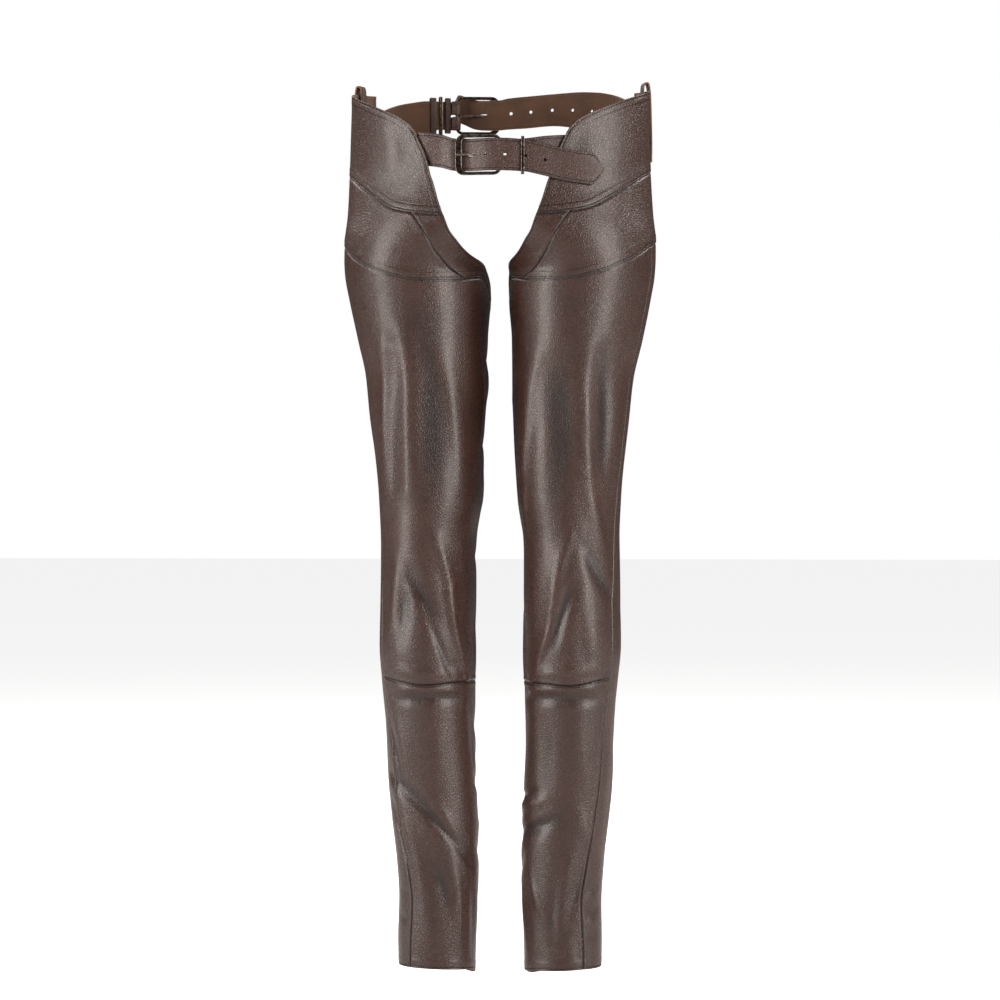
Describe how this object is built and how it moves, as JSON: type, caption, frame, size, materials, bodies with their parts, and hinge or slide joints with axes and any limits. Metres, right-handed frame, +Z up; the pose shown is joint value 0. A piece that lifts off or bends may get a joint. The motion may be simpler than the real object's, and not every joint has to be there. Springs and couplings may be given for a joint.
{
  "type": "leather riding chaps",
  "caption": "Full-length riding chaps: hollow leather legs with side zips and pleated stretch backs, hung from a hip belt buckled in front and behind.",
  "frame": {"origin": "middle of the hip belt, where the wearer's hips hold the chaps up", "axes": "front faces -Y, the wearer's left is +X, +Z is up"},
  "size_m": [0.374, 0.2585, 1.0726],
  "materials": {
    "grain_leather": "semi-gloss dark brown pebble-grained cowhide with dark stitching",
    "pleated_leather": "dark brown smocked stretch leather, glossy on the pleats",
    "trim_leather": "dark brown binding leather with worn tan edges",
    "belt_leather": "dark brown belt leather, tan raw edges",
    "zip_tape": "black woven tape",
    "dark_metal": "antique dark metal with bright worn edges"
  },
  "bodies": {
    "garment": {"back_belt_buckle_piece": "belt_leather", "back_belt_keeper": "dark_metal", "back_belt_loop_inner": "belt_leather", "back_belt_loop_outer": "belt_leather", "back_belt_strap": "belt_leather", "back_buckle_frame": "dark_metal", "back_buckle_prong": "dark_metal", "front_belt_buckle_piece": "belt_leather", "front_belt_keeper": "dark_metal", "front_belt_strap": "belt_leather", "front_buckle_frame": "dark_metal", "front_buckle_prong": "dark_metal", "left_calf_band": "trim_leather", "left_gusset": "grain_leather", "left_hip_loop": "trim_leather", "left_hip_panel": "grain_leather", "left_outer_strip": "grain_leather", "left_seam_facing": "trim_leather", "left_shin": "grain_leather", "left_slider": "dark_metal", "left_stretch_foot_binding": "trim_leather", "left_stretch_lower": "pleated_leather", "left_stretch_top_binding": "trim_leather", "left_stretch_upper": "pleated_leather", "left_thigh": "grain_leather", "left_yoke": "grain_leather", "left_zip_tape_back": "zip_tape", "left_zip_tape_front": "zip_tape", "right_calf_band": "trim_leather", "right_gusset": "grain_leather", "right_hip_loop": "trim_leather", "right_hip_panel": "grain_leather", "right_outer_strip": "grain_leather", "right_seam_facing": "trim_leather", "right_shin": "grain_leather", "right_slider": "dark_metal", "right_stretch_foot_binding": "trim_leather", "right_stretch_lower": "pleated_leather", "right_stretch_top_binding": "trim_leather", "right_stretch_upper": "pleated_leather", "right_thigh": "grain_leather", "right_yoke": "grain_leather", "right_zip_tape_back": "zip_tape", "right_zip_tape_front": "zip_tape"},
    "left_pull_tab": {"left_pull": "dark_metal"},
    "right_pull_tab": {"right_pull": "dark_metal"}
  },
  "joints": [
    {"name": "left_pull_swing", "type": "hinge", "parent": "garment", "child": "left_pull_tab", "pos_m": [0.10998, 0.04608, -0.947], "axis": [0.6704, -0.742, 0], "range_deg": [0, 140]},
    {"name": "right_pull_swing", "type": "hinge", "parent": "garment", "child": "right_pull_tab", "pos_m": [-0.10998, 0.04608, -0.947], "axis": [0.6704, 0.742, 0], "range_deg": [0, 140]}
  ]
}
